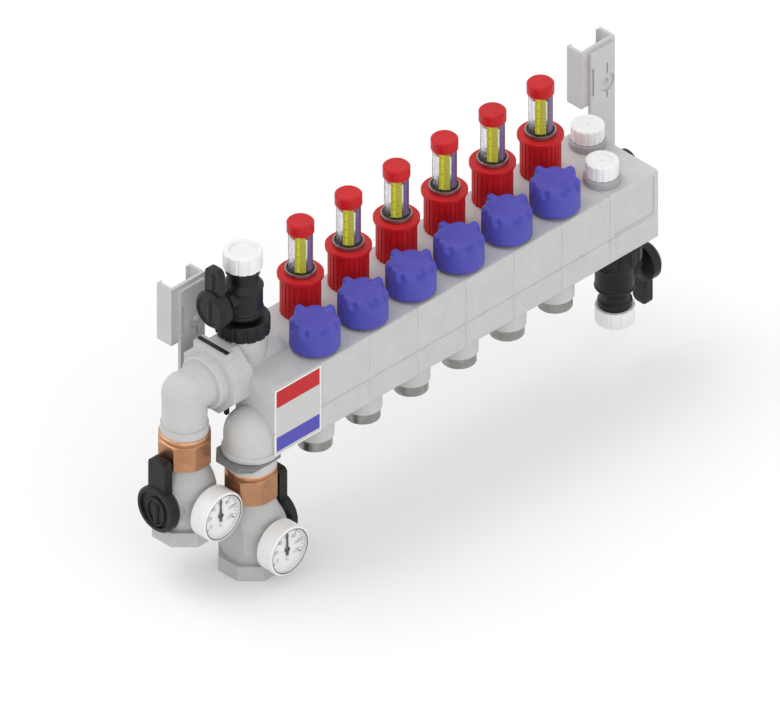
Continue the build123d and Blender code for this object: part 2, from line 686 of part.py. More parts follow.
def line_valve(name, x, y, top, side):
    """A ball valve under a union nut at height top, its lever on the side +X or -X, pointing up."""
    ball_z = top - valve_axis_drop
    bottom = top - valve_length
    with BuildPart() as body:
        turn(((0, top), (valve_neck_radius, top), (valve_neck_radius + 0.8, top - 4),
              (valve_neck_radius + 2.6, top - 9), (valve_barrel - 1.6, top - 16), (valve_barrel, top - 23),
              (valve_barrel, bottom + 21), (valve_barrel - 2.5, bottom + valve_base_height),
              (valve_barrel - 2.5, bottom + 2), (0, bottom + 2)), x, y)
        with Locations((x, y, ball_z)):
            Box(2 * valve_body_half, 4 * valve_barrel, 2 * valve_length, mode=Mode.INTERSECT)
        with BuildSketch(Plane(origin=(x, y, bottom))) as base:
            RegularPolygon(valve_base_half, 8, major_radius=False, rotation=22.5)
        extrude(base.sketch, amount=valve_base_height)
        turn_about(((0, 0), (lever_boss, 0), (lever_boss, valve_body_half + 1), (0, valve_body_half + 1)),
                   (x, y, ball_z), (side, 0, 0), (0, 1, 0))
        turn_about(((0, 0), (gauge_boss, 0), (gauge_boss, gauge_back - free_gap), (0, gauge_back - free_gap)),
                   (x, y, ball_z - gauge_drop), (0, -1, 0), (1, 0, 0))
        with Locations((x, y, ball_z)):
            Sphere(valve_ball + running_fit, mode=Mode.SUBTRACT)
        turn(((0, top + 1), (valve_bore, top + 1), (valve_bore, bottom + valve_thread_depth),
              (valve_thread, bottom + valve_thread_depth), (valve_thread, bottom - 1), (0, bottom - 1)),
             x, y, Mode.SUBTRACT)
        turn_about(((0, 0), (valve_stem + running_fit, 0), (valve_stem + running_fit, valve_body_half + 2),
                    (0, valve_body_half + 2)), (x, y, ball_z), (side, 0, 0), (0, 1, 0), Mode.SUBTRACT)
        turn_about(((0, valve_ball + 1.4), (gauge_stem + push_fit, valve_ball + 1.4), (gauge_stem + push_fit,
                    gauge_back + 1), (0, gauge_back + 1)), (x, y, ball_z - gauge_drop),
                   (0, -1, 0), (1, 0, 0), Mode.SUBTRACT)
    finish(body, f"{name}_valve_body")
    with BuildPart() as ball:
        with Locations((x, y, ball_z)):
            Sphere(valve_ball)
        turn_about(((0, 0), (valve_stem, 0), (valve_stem, valve_body_half + 1.4), (0, valve_body_half + 1.4)),
                   (x, y, ball_z), (side, 0, 0), (0, 1, 0))
        with BuildSketch(Plane(origin=(x, y, ball_z - valve_ball))) as bore:
            Circle(valve_bore - 0.5)
        extrude(bore.sketch, amount=2 * valve_ball, mode=Mode.SUBTRACT)
    finish(ball, f"{name}_valve_ball")
    face = x + side * (valve_body_half + 1.4)
    with BuildPart() as lever:
        turn_about(((0, 0), (lever_disc - 3, 0), (lever_disc, 3), (lever_disc, lever_thick - 1.5),
                    (lever_disc - 1.5, lever_thick), (lever_disc - 4, lever_thick),
                    (lever_disc - 4.6, lever_thick - lever_dish), (0, lever_thick - lever_dish)),
                   (face, y, ball_z), (side, 0, 0), (0, 1, 0))
        with BuildSketch(across(face, y, ball_z)) as arm:
            with Locations((0, lever_reach / 2)):
                RectangleRounded(lever_width, lever_reach, 4)
        extrude(arm.sketch, amount=side * (lever_thick - lever_dish))
    finish(lever, f"{name}_valve_lever")
    return ball_z


supply_ball_z = line_valve("supply", supply_elbow_x, supply_line_y, supply_nut_z, -1)
return_ball_z = line_valve("return", return_x, return_y, return_nut_z, 1)

# Thermometers on the fronts of the two valves.
gauge_places = ((supply_elbow_x, supply_line_y, supply_ball_z - gauge_drop),
                (return_x, return_y, return_ball_z - gauge_drop))
with BuildPart() as gauge_cases:
    for x, y, z in gauge_places:
        turn_about(((0, valve_ball + 1.6), (gauge_stem, valve_ball + 1.6), (gauge_stem, gauge_back),
                    (gauge_radius - 2, gauge_back), (gauge_radius, gauge_back + 2),
                    (gauge_radius, gauge_stand_off - 1), (gauge_radius - 1, gauge_stand_off),
                    (gauge_radius - gauge_wall, gauge_stand_off),
                    (gauge_radius - gauge_wall, gauge_stand_off - gauge_recess - 1.6),
                    (0, gauge_stand_off - gauge_recess - 1.6)), (x, y, z), (0, -1, 0), (1, 0, 0))
finish(gauge_cases, "thermometer_cases")

with BuildPart() as gauge_windows:
    for x, y, z in gauge_places:
        turn_about(((0, gauge_stand_off - 1.4), (gauge_radius - gauge_wall - push_fit, gauge_stand_off - 1.4),
                    (gauge_radius - gauge_wall - push_fit, gauge_stand_off - 0.2), (0, gauge_stand_off - 0.2)),
                   (x, y, z), (0, -1, 0), (1, 0, 0))
finish(gauge_windows, "thermometer_windows")

dial_depth = gauge_stand_off - gauge_recess - 1.6
for name, (x, y, z) in zip(("supply", "return"), gauge_places):
    with BuildPart() as pointer:
        with BuildSketch(Plane(origin=(x, y - dial_depth - 0.5, z), x_dir=(1, 0, 0), z_dir=(0, -1, 0))) as hand:
            with BuildLine():
                Polyline((-1.2, -5), (1.2, -5), (0.4, pointer_length), (-0.4, pointer_length), close=True)
            make_face()
            Circle(2.4)
        extrude(hand.sketch, amount=0.8)
    finish(pointer, f"{name}_pointer")


# Wall brackets: a plate with a foot screwed to the back of the block and a rail clip behind its head.
def bracket(x, inward):
    """One bracket about its middle x, its foot reaching along inward (+1 or -1) to the block's back."""
    plate_y = box_back + bracket_stand_off
    plate_back = plate_y + bracket_thick
    low = box_bottom + bracket_bottom
    with BuildSketch(Plane(origin=(x, (plate_y + plate_back) / 2, low))) as plate:
        Rectangle(bracket_width, bracket_thick)
    extrude(plate.sketch, amount=bracket_top - bracket_bottom)
    with BuildSketch(Plane(origin=(x, 0, low))) as foot:
        with BuildLine():
            Polyline((inward * 5, plate_back), (inward * foot_end, plate_back), (inward * foot_end, box_back),
                     (inward * foot_start, box_back), (inward * foot_start, plate_y), (inward * 5, plate_y),
                     close=True)
        make_face()
    extrude(foot.sketch, amount=foot_height)
    clip_low = box_bottom + rail_clip_top - rail_clip_height
    half = rail_clip_width / 2
    with BuildSketch(Plane(origin=(x - 2, plate_back, clip_low))) as channel:
        with BuildLine():
            Polyline((-half, 0), (half, 0), (half, rail_clip_depth), (half - rail_hook, rail_clip_depth),
                     (half - rail_clip_wall, rail_clip_depth - rail_hook / 2),
                     (half - rail_clip_wall, rail_clip_wall), (rail_clip_wall - half, rail_clip_wall),
                     (rail_clip_wall - half, rail_clip_depth - rail_hook / 2),
                     (rail_hook - half, rail_clip_depth), (-half, rail_clip_depth), close=True)
        make_face()
    extrude(channel.sketch, amount=rail_clip_height)
    screw = (x + screw_offset, plate_y, box_bottom + screw_place)
    turn_about(((0, -1), (screw_pocket, -1), (screw_pocket, screw_pocket_depth), (screw_hole,
                screw_pocket_depth), (screw_hole, 8), (0, 8)), screw, (0, 1, 0), (1, 0, 0), Mode.SUBTRACT)
    with BuildSketch(upright(screw[0], plate_y - 1, screw[2])) as slits:
        with Locations((0, (slit_above - slit_below) / 2)):
            Rectangle(slit_width, 2 * screw_pocket + slit_above + slit_below)
    extrude(slits.sketch, amount=-1 - screw_pocket_depth, mode=Mode.SUBTRACT)
    with BuildSketch(upright(x + side_slot_x, plate_y - 1, box_bottom + side_slot_low)) as side_slot:
        with Locations((0, side_slot_height / 2)):
            Rectangle(side_slot_width, side_slot_height)
    extrude(side_slot.sketch, amount=-1 - screw_pocket_depth, mode=Mode.SUBTRACT)


with BuildPart() as wall_brackets:
    bracket(box_left + bracket_left_x, 1)
    bracket(box_left + bracket_right_x, -1)
finish(wall_brackets, "wall_brackets")

# The round plug in the drain-end module's end face.
with BuildPart() as end_plug:
    turn_about(((0, 0), (plug_radius, 0), (plug_radius, plug_length - plug_edge),
                (plug_radius - plug_edge, plug_length), (0, plug_length)),
               (box_right, box_front + box_depth / 2, box_top - plug_drop), (1, 0, 0), (0, 1, 0))
finish(end_plug, "end_plug")
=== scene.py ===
"""Looks of a heating manifold for six underfloor circuits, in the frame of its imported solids.
Lengths in this file are millimetres unless a comment says otherwise; the scene is in metres."""

import json
import math

import bpy
import numpy as np
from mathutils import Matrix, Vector


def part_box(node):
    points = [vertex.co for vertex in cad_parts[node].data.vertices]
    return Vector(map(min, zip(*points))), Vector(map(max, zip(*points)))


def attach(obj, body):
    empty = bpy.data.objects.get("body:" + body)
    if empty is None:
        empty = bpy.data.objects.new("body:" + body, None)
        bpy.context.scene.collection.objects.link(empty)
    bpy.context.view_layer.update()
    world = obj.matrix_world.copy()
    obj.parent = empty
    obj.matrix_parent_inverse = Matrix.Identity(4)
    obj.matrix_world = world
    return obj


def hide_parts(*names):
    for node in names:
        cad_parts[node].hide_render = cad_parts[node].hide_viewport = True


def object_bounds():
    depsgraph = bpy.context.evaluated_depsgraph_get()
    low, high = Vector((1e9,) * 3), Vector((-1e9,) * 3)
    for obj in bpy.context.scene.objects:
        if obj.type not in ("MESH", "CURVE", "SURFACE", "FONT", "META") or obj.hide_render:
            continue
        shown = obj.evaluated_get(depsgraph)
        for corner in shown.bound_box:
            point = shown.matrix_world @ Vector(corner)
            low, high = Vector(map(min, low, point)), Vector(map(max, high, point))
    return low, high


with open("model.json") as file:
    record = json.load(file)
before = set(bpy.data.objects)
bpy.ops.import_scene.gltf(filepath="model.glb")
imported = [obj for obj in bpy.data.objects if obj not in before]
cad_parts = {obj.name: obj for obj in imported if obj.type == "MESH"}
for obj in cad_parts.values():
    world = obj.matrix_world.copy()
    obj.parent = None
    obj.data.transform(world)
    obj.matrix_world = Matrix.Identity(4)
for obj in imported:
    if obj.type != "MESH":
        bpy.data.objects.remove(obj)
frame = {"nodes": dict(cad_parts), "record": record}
solid_box = [list(corner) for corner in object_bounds()]
nodes = frame["nodes"]
MM = 0.001
RIGHT, BACK, UP = (1, 0, 0), (0, 1, 0), (0, 0, 1)
circuits = 6
pitch = 50.0


# Shapes.


def add_piece(name, points, faces, material):
    """An object whose mesh has these points, one row each, and these faces."""
    mesh = bpy.data.meshes.new(name)
    mesh.from_pydata((points * MM).tolist(), [], faces.tolist())
    piece = bpy.data.objects.new(name, mesh)
    bpy.context.scene.collection.objects.link(piece)
    mesh.materials.append(material)
    return piece


def surface(name, points, material, closed_u=False, closed_v=False, uv=None):
    """A smooth mesh through a grid of points, rows by columns by 3: each cell of the grid is one
    face, and a closed direction joins its last line to its first."""
    rows, columns = points.shape[:2]
    index = np.arange(rows * columns).reshape(rows, columns)
    if closed_u:
        index = np.vstack([index, index[:1]])
    if closed_v:
        index = np.hstack([index, index[:, :1]])
    quads = np.stack([index[:-1, :-1], index[:-1, 1:], index[1:, 1:], index[1:, :-1]], axis=-1)
    quads = quads.reshape(-1, 4)
    piece = add_piece(name, points.reshape(-1, 3), quads, material)
    mesh = piece.data
    mesh.polygons.foreach_set("use_smooth", np.ones(len(quads), bool))
    if uv is not None:
        layer = mesh.uv_layers.new(name="UVMap")
        layer.uv.foreach_set("vector", uv.reshape(-1, 2)[quads.ravel()].astype(np.float32).ravel())
    mesh.update()
    return piece


def around(centre, reach, turn, height):
    """A grid of points about an upright axis, from reach, turn and height, where each may be one
    value, a line or a whole grid."""
    x, y = centre[0] + reach * np.cos(turn), centre[1] + reach * np.sin(turn)
    return np.stack(np.broadcast_arrays(x, y, height), axis=-1)


def full_turn(count):
    """The angles of count points once round, without the last that would meet the first."""
    return np.linspace(0, 2 * np.pi, count, endpoint=False)


def ring_path(count, radius):
    """A closed path of count (right, up) points on a circle, or on an ellipse where radius is a
    pair."""
    turn = full_turn(count)
    return np.array(radius) * np.stack([np.cos(turn), np.sin(turn)], axis=-1)


def upright_path(count, low, high):
    """A path of count (right, up) points straight up from low to high."""
    return np.stack([np.zeros(count), np.linspace(low, high, count)], axis=-1)


def plate(name, centre, across, along, thick, material):
    """A thin rounded-edge sheet: a grid over the two half-extent vectors across and along, lifted
    by thick along their cross product, whose outermost line of points drops back to the base."""
    across, along = np.array(across, float), np.array(along, float)
    normal = np.cross(across, along)
    normal /= np.linalg.norm(normal)
    reach = np.array([-1, -1, -0.985, 0.985, 1, 1])
    lift = np.array([0, 0.8, 1, 1, 0.8, 0]) * thick
    grid = (np.array(centre, float) + reach[None, :, None] * across + reach[:, None, None] * along
            + np.minimum(lift[:, None], lift[None, :])[..., None] * normal)
    return surface(name, grid, material)


def wrapped(name, centre, radius, low, high, first, last, material, thick=0.12):
    """A printed strip wrapped on an upright tube: angle from first to last degrees on radius,
    height from low to high, its four edges folded back by thick onto the tube."""
    rows, columns = 9, 25
    turn = np.radians(np.linspace(first, last, columns))
    height = np.linspace(low, high, rows)[:, None]
    reach = np.full((rows, columns), radius + thick)
    reach[0] = reach[-1] = radius
    reach[:, 0] = reach[:, -1] = radius
    share = np.meshgrid(np.linspace(0, 1, columns), np.linspace(0, 1, rows))
    return surface(name, around(centre, reach, turn, height), material, uv=np.stack(share, axis=-1))


def smooth(value):
    """0 below 0, 1 above 1, and a cubic ease between them."""
    value = np.clip(value, 0, 1)
    return value * value * (3 - 2 * value)


def profile_points(corners, step):
    """Points along a polyline of (radius, height) corners, about step apart, every corner kept."""
    corners = np.array(corners, float)
    spans = np.linalg.norm(np.diff(corners, axis=0), axis=1)
    parts = [np.linspace(a, b, max(2, int(np.ceil(d / step)) + 1))[:-1]
             for a, b, d in zip(corners[:-1], corners[1:], spans)]
    return np.vstack(parts + [corners[-1:]])


def eared_cap(name, centre, low, high, radius, inner, ear_count, material):
    """A hand cap: a profile turned about the axis, from the middle of its underside out, up a plain
    skirt and over a round shoulder to a flat top. Near the rim, where the distance across a radius
    at an ear is under the ear's half width, the height is raised to the ear's crest, and a thumb
    hollow is pressed into the shoulder on each side of every ear, as a bell curve of that distance
    and of the height."""
    roof, skirt_top = low + 15, high - 9
    foot_in, foot_up = 0.6, 0.7
    bend, bend_end = 5.0, 84
    flat_radius, flat_drop, middle_drop = 6.0, 0.4, 0.6
    arc = np.radians(np.linspace(0, bend_end, 10))
    shoulder = [(radius - bend + bend * math.cos(a), high - bend + bend * math.sin(a)) for a in arc]
    corners = [(0, roof), (inner, roof), (inner, low), (radius - foot_in, low),
               (radius, low + foot_up), (radius, skirt_top), *shoulder,
               (flat_radius, high - flat_drop), (0, high - middle_drop)]
    line = profile_points(corners, step=0.9)
    r, height = line[:, :1], line[:, 1:]
    turn = full_turn(200)

    underside_share, ear_zone = 0.35, 12
    outside = np.arange(len(line))[:, None] > len(line) * underside_share
    outside = outside & (height > high - ear_zone)
    nearest = (turn + np.pi / ear_count) % (2 * np.pi / ear_count) - np.pi / ear_count
    across = np.abs(r * np.sin(nearest))
    ear_half, ear_flank = 4.4, 2.2
    ear_from, ear_ramp = 8.5, 4.0
    rim_gap, rim_ramp = 0.3, 0.8
    ear = (smooth((ear_half - across) / ear_flank) * smooth((r - ear_from) / ear_ramp)
           * smooth((radius + rim_gap - r) / rim_ramp))
    crest_rise, crest_from, crest_ramp = 1.6, 9.0, 7.0
    crest = high + crest_rise * smooth((r - crest_from) / crest_ramp)
    z = np.where(outside, height + ear * np.maximum(crest - height, 0), height)

    hollow_at, hollow_half = 6.8, 2.3
    hollow_below, hollow_tall = 3.4, 2.8
    press_in, press_down = 2.8, 0.9
    hollow = outside * np.exp(-((across - hollow_at) / hollow_half) ** 2
                              - ((height - high + hollow_below) / hollow_tall) ** 2)
    grid = around(centre, r - press_in * hollow, turn, z - press_down * hollow)
    return surface(name, grid, material, closed_v=True)


def disc(name, centre, radius, crown, material):
    """A thin round enamelled plate facing -Y: rings of growing radius, crowned by crown at the
    middle and turned down to its base at the edge."""
    reach = np.array([0.0, 0.3, 0.7, 0.97, 1.0])[:, None] * radius
    lift = np.array([1.0, 1.0, 1.0, 0.9, 0.0])[:, None] * crown
    turn = 2 * np.pi - full_turn(72)
    x, z = centre[0] + reach * np.cos(turn), centre[2] + reach * np.sin(turn)
    grid = np.stack(np.broadcast_arrays(x, centre[1] - lift, z), axis=-1)
    return surface(name, grid, material, closed_v=True)


def ladder(name, centre, radius, low, high, rungs, first, last, material):
    """Printed ticks up an upright tube, at radius from its axis: each rung is a strip from first to
    last degrees, a third as tall as the rung's share of the height, and every fifth is half as long
    again."""
    columns = 5
    turn = np.radians(np.linspace(first, last, columns))
    length = np.where(np.arange(rungs) % 5 == 0, 1.5, 1.0)[:, None]
    angle = turn[0] + (turn - turn[0]) * length
    share = (high - low) / rungs
    base = low + share * np.arange(rungs)
    edge = np.stack([base, base + share / 3], axis=1)
    grid = around(centre, radius, angle[:, None, :], edge[:, :, None])
    corner = 2 * columns * np.arange(rungs)[:, None] + np.arange(columns - 1)
    quads = np.stack([corner, corner + 1, corner + columns + 1, corner + columns], axis=-1)
    return add_piece(name, grid.reshape(-1, 3), quads.reshape(-1, 4), material)


def bead(name, origin, right, up, path, width, height, closed, material):
    """A raised bead on a face: a half-ellipse, width by height, carried along a path of (right, up)
    points and sunk a little into the face. An open bead tapers to nothing at both ends."""
    sunk, least_share = 0.05, 0.02
    right, up = np.array(right, float), np.array(up, float)
    out = np.cross(right, up)
    if closed:
        tangent = np.roll(path, -1, axis=0) - np.roll(path, 1, axis=0)
        taper = np.ones((len(path), 1))
    else:
        tangent = np.gradient(path, axis=0)
        taper = np.sqrt(np.clip(1 - np.linspace(-1, 1, len(path)) ** 10, 0, 1))[:, None]
    tangent /= np.linalg.norm(tangent, axis=1)[:, None]
    side = np.stack([tangent[:, 1], -tangent[:, 0]], axis=-1)
    angle = np.linspace(np.pi, 0, 9)
    offset = np.cos(angle) * width / 2 * np.maximum(taper, least_share)
    lift = np.sin(angle) * height * taper - sunk
    flat = path[:, None, :] + side[:, None, :] * offset[..., None]
    grid = (np.array(origin, float) + flat[..., :1] * right + flat[..., 1:] * up
            + lift[..., None] * out)
    return surface(name, grid, material, closed_u=closed)


def marks(name, origin, right, up, bars, thick, material):
    """Printed bars as one mesh: each bar is (angle, inner radius, outer radius, width) about
    origin, a flat quad set off by thick along right x up."""
    right, up = np.array(right, float), np.array(up, float)
    bars = np.array(bars, float)
    angle = np.radians(bars[:, :1])
    along = np.sin(angle) * right + np.cos(angle) * up
    side = np.cos(angle) * right - np.sin(angle) * up
    base = np.array(origin, float) + thick * np.cross(right, up)
    corners = [base + along * bars[:, end, None] + side * bars[:, 3, None] * way / 2
               for end, way in ((1, -1), (1, 1), (2, 1), (2, -1))]
    points = np.stack(corners, axis=1).reshape(-1, 3)
    return add_piece(name, points, np.arange(len(points)).reshape(-1, 4), material)


def mesh_points(mesh):
    """A mesh's points, one row each."""
    points = np.empty(3 * len(mesh.vertices), np.float32)
    mesh.vertices.foreach_get("co", points)
    return points.reshape(-1, 3) / MM


def lettering(name, words, origin, right, up, material):
    """Generic dial numbers: each (text, angle, radius, height) is set upright about origin, made a
    mesh of triangles and joined into one piece."""
    right, up = np.array(right, float), np.array(up, float)
    points, triangles = [np.empty((0, 3))], []
    for text, angle, radius, height in words:
        curve = bpy.data.curves.new("type", "FONT")
        curve.body = text
        curve.size = height * MM
        curve.align_x, curve.align_y = "CENTER", "CENTER"
        letters = bpy.data.objects.new("type", curve)
        bpy.context.scene.collection.objects.link(letters)
        flat = bpy.data.meshes.new_from_object(letters)
        turn = math.radians(angle)
        place = np.array(origin, float) + radius * (math.sin(turn) * right + math.cos(turn) * up)
        local = mesh_points(flat)
        corners = np.empty(len(flat.loops), np.int32)
        flat.loops.foreach_get("vertex_index", corners)
        triangles.append(corners.reshape(-1, 3) + sum(map(len, points)))
        points.append(place + local[:, :1] * right + local[:, 1:2] * up)
        bpy.data.objects.remove(letters)
        bpy.data.meshes.remove(flat)
        bpy.data.curves.remove(curve)
    return add_piece(name, np.vstack(points), np.vstack(triangles), material)


def top_near(node, axis, inner, outer):
    """The greatest height of a node's points whose distance from an upright axis lies between inner
    and outer."""
    points = mesh_points(nodes[node].data)
    reach = np.hypot(points[:, 0] - axis[0], points[:, 1] - axis[1])
    return float(points[(reach > inner) & (reach < outer)][:, 2].max())


def ringed_sleeve(name, axis, radius, low, high, hoops, width, rise, material):
    """A thin sleeve round an upright barrel: the radius at each height, raised round every hoop by
    rise times the half circle of its distance from the hoop, and dropped under the barrel's skin at
    both ends."""
    skin, tucked = 0.06, 0.1
    height = np.concatenate([np.linspace(low, high, 12)]
                            + [hoop + width * np.linspace(-0.5, 0.5, 9) for hoop in hoops])
    height = np.unique(np.round(height, 3))
    away = np.min(np.abs(height[:, None] - np.array(hoops)), axis=1)
    reach = radius + skin + rise * np.sqrt(np.clip(1 - (2 * away / width) ** 2, 0, 1))
    height = np.pad(height, 1, "edge")[:, None]
    reach = np.pad(reach, 1, constant_values=radius - tucked)[:, None]
    return surface(name, around(axis, reach, full_turn(72), height), material, closed_v=True)


# Materials.


def linear(colour):
    """An sRGB hex value as linear red, green, blue and alpha."""
    parts = np.array([int(colour[i:i + 2], 16) for i in (0, 2, 4)]) / 255
    parts = np.where(parts <= 0.04045, parts / 12.92, ((parts + 0.055) / 1.055) ** 2.4)
    return (*parts.tolist(), 1.0)


def feed(tree, node, **inputs):
    """Gives a node's inputs their values, or links from other nodes' output sockets: each input is
    its name with underscores for spaces, or an underscore and its number."""
    for key, value in inputs.items():
        key = key.replace("_", " ").strip()
        socket = node.inputs[int(key)] if key.isdigit() else node.inputs[key]
        if isinstance(value, bpy.types.NodeSocket):
            tree.links.new(value, socket)
        else:
            socket.default_value = value
    return node


def add(tree, kind, settings=None, **inputs):
    """Adds one node with its settings, links and values."""
    node = tree.nodes.new(kind)
    for key, value in (settings or {}).items():
        setattr(node, key, value)
    return feed(tree, node, **inputs)


def start(name):
    """A new material: its tree, its principled shader and its object coordinates."""
    material = bpy.data.materials.new(name)
    material.use_nodes = True
    tree = material.node_tree
    shader = tree.nodes["Principled BSDF"]
    place = add(tree, "ShaderNodeTexCoord").outputs["Object"]
    return material, tree, shader, place


def ramp(tree, factor, *stops):
    """A colour ramp through (position, hex) stops."""
    node = add(tree, "ShaderNodeValToRGB", Fac=factor)
    bar = node.color_ramp
    while len(bar.elements) < len(stops):
        bar.elements.new(0.5)
    for element, (position, colour) in zip(bar.elements, stops):
        element.position = position
        element.color = linear(colour)
    return node.outputs["Color"]


def per_metre(size):
    """The scale of a texture whose pattern repeats about every size."""
    return 1 / (size * MM)


def moulded(name, dark, light, rough, grain, relief, fibre=0.0, sheen=0.5):
    """An injection-moulded polymer: cloudy colour between two near shades, spark-eroded grain of
    that size which lifts the surface by relief, roughness about rough, sheen as its specular level,
    and streaks of short glass fibres along X, as strong as fibre."""
    cloud_size, corner_radius = 18, 0.35
    streak_length, streak_width = 10 / 3, 2 / 3
    material, tree, shader, place = start(name)
    cloud = add(tree, "ShaderNodeTexNoise", Vector=place, Scale=per_metre(cloud_size), Detail=3.0,
                Roughness=0.6).outputs["Fac"]
    skin = add(tree, "ShaderNodeTexNoise", Vector=place, Scale=per_metre(grain), Detail=2.0,
               Roughness=0.7)
    colour = ramp(tree, cloud, (0.35, dark), (0.65, light))
    if fibre:
        across_streak = per_metre(streak_width)
        stretched = add(tree, "ShaderNodeMapping", Vector=place,
                        Scale=(per_metre(streak_length), across_streak, across_streak))
        streaks = add(tree, "ShaderNodeTexNoise", Vector=stretched.outputs["Vector"], Scale=1.0,
                      Detail=1.0)
        shade = ramp(tree, streaks.outputs["Fac"], (0.42, "ffffff"), (0.75, "d4d4d2"))
        colour = add(tree, "ShaderNodeMix", {"data_type": "RGBA", "blend_type": "MULTIPLY"},
                     Factor=fibre, _6=colour, _7=shade).outputs[2]
    spread = add(tree, "ShaderNodeMapRange", Value=cloud, From_Min=0.3, From_Max=0.7,
                 To_Min=rough - 0.05, To_Max=rough + 0.07)
    soft = add(tree, "ShaderNodeBevel", {"samples": 4}, Radius=corner_radius * MM)
    bump = add(tree, "ShaderNodeBump", Strength=1.0, Distance=relief * MM,
               Height=skin.outputs["Fac"], Normal=soft.outputs["Normal"])
    feed(tree, shader, Base_Color=colour, Roughness=spread.outputs["Result"],
         Normal=bump.outputs["Normal"], IOR=1.5, Specular_IOR_Level=sheen)
    return material


def turned(name, dark, light, rough, step, axis_scale):
    """A turned metal: fine tool lines across the axis every step, drawn coarser than real so that
    they show, with a dull patina between two shades."""
    patina_size, corner_radius, line_depth = 12, 0.4, 0.03
    material, tree, shader, place = start(name)
    patina = add(tree, "ShaderNodeTexNoise", Vector=place, Scale=per_metre(patina_size),
                 Detail=4.0, Roughness=0.65)
    squeezed = add(tree, "ShaderNodeMapping", Vector=place, Scale=axis_scale)
    lines = add(tree, "ShaderNodeTexNoise", Vector=squeezed.outputs["Vector"],
                Scale=per_metre(step), Detail=1.0).outputs["Fac"]
    spread = add(tree, "ShaderNodeMapRange", Value=lines, From_Min=0.3, From_Max=0.7,
                 To_Min=rough - 0.08, To_Max=rough + 0.1)
    soft = add(tree, "ShaderNodeBevel", {"samples": 4}, Radius=corner_radius * MM)
    bump = add(tree, "ShaderNodeBump", Strength=0.6, Distance=line_depth * MM, Height=lines,
               Normal=soft.outputs["Normal"])
    feed(tree, shader, Base_Color=ramp(tree, patina.outputs["Fac"], (0.3, dark), (0.7, light)),
         Roughness=spread.outputs["Result"], Normal=bump.outputs["Normal"], Metallic=1.0)
    return material


def clear_material(name, rough, facing, edge, wave):
    """Clear polycarbonate, moulded: mostly see-through where it faces the eye and glassier towards
    its edges, from facing to edge, so that light reaches what is inside it, with flow waves as deep
    as wave."""
    wave_size = 9
    material, tree, shader, place = start(name)
    flow = add(tree, "ShaderNodeTexNoise", Vector=place, Scale=per_metre(wave_size),
               Detail=1.0).outputs["Fac"]
    spread = add(tree, "ShaderNodeMapRange", Value=flow, To_Min=rough, To_Max=2 * rough)
    bump = add(tree, "ShaderNodeBump", Strength=0.3, Distance=wave * MM, Height=flow)
    rim = add(tree, "ShaderNodeLayerWeight", Blend=0.35)
    body = add(tree, "ShaderNodeMapRange", Value=rim.outputs["Facing"], To_Min=facing, To_Max=edge)
    feed(tree, shader, Base_Color=ramp(tree, flow, (0.2, "eef1f2"), (0.8, "fbfcfc")),
         Roughness=spread.outputs["Result"], Normal=bump.outputs["Normal"],
         Alpha=body.outputs["Result"], IOR=1.45, Transmission_Weight=0.85)
    return material


def printed(name, colour, worn, rough):
    """Printed ink or enamel: one colour with a fine halftone unevenness."""
    halftone_size = 0.7
    material, tree, shader, place = start(name)
    ink = add(tree, "ShaderNodeTexNoise", Vector=place, Scale=per_metre(halftone_size), Detail=2.0)
    feed(tree, shader, Base_Color=ramp(tree, ink.outputs["Fac"], (0.3, worn), (0.6, colour)),
         Roughness=rough)
    return material


def label_material(left, right, low, high, red, blue):
    """Printed polyester film: pale margin, a red and a blue band, and the grey of the block between
    them, picked by height and by distance from the film's edges."""
    margin, band_margin, grain_size = 0.9, 1.7, 1.5
    material, tree, shader, place = start("printed_polyester_label")
    axes = add(tree, "ShaderNodeSeparateXYZ", Vector=place)

    def within(axis, first, last):
        """1 where the place along the axis lies between first and last, else 0."""
        over = add(tree, "ShaderNodeMath", {"operation": "GREATER_THAN"}, _0=axes.outputs[axis],
                   _1=first * MM)
        under = add(tree, "ShaderNodeMath", {"operation": "LESS_THAN"}, _0=axes.outputs[axis],
                    _1=last * MM)
        return add(tree, "ShaderNodeMath", {"operation": "MULTIPLY"}, _0=over.outputs[0],
                   _1=under.outputs[0]).outputs[0]

    grain = add(tree, "ShaderNodeTexNoise", Vector=place, Scale=per_metre(grain_size),
                Detail=2.0).outputs["Fac"]
    red_ink = ramp(tree, grain, (0.3, "bf1c22"), (0.7, "c8252a"))
    blue_ink = ramp(tree, grain, (0.3, "4e4bb0"), (0.7, "5754b8"))
    colour = linear("fafaf9")
    for ink, inset, heights in ((linear("cccccb"), margin, (low + margin, high - margin)),
                                (red_ink, band_margin, red), (blue_ink, band_margin, blue)):
        mask = add(tree, "ShaderNodeMath", {"operation": "MULTIPLY"},
                   _0=within("X", left + inset, right - inset), _1=within("Z", *heights))
        colour = add(tree, "ShaderNodeMix", {"data_type": "RGBA"}, Factor=mask.outputs[0],
                     _6=colour, _7=ink).outputs[2]
    spread = add(tree, "ShaderNodeMapRange", Value=grain, To_Min=0.32, To_Max=0.42)
    feed(tree, shader, Base_Color=colour, Roughness=spread.outputs["Result"],
         Specular_IOR_Level=0.25)
    return material


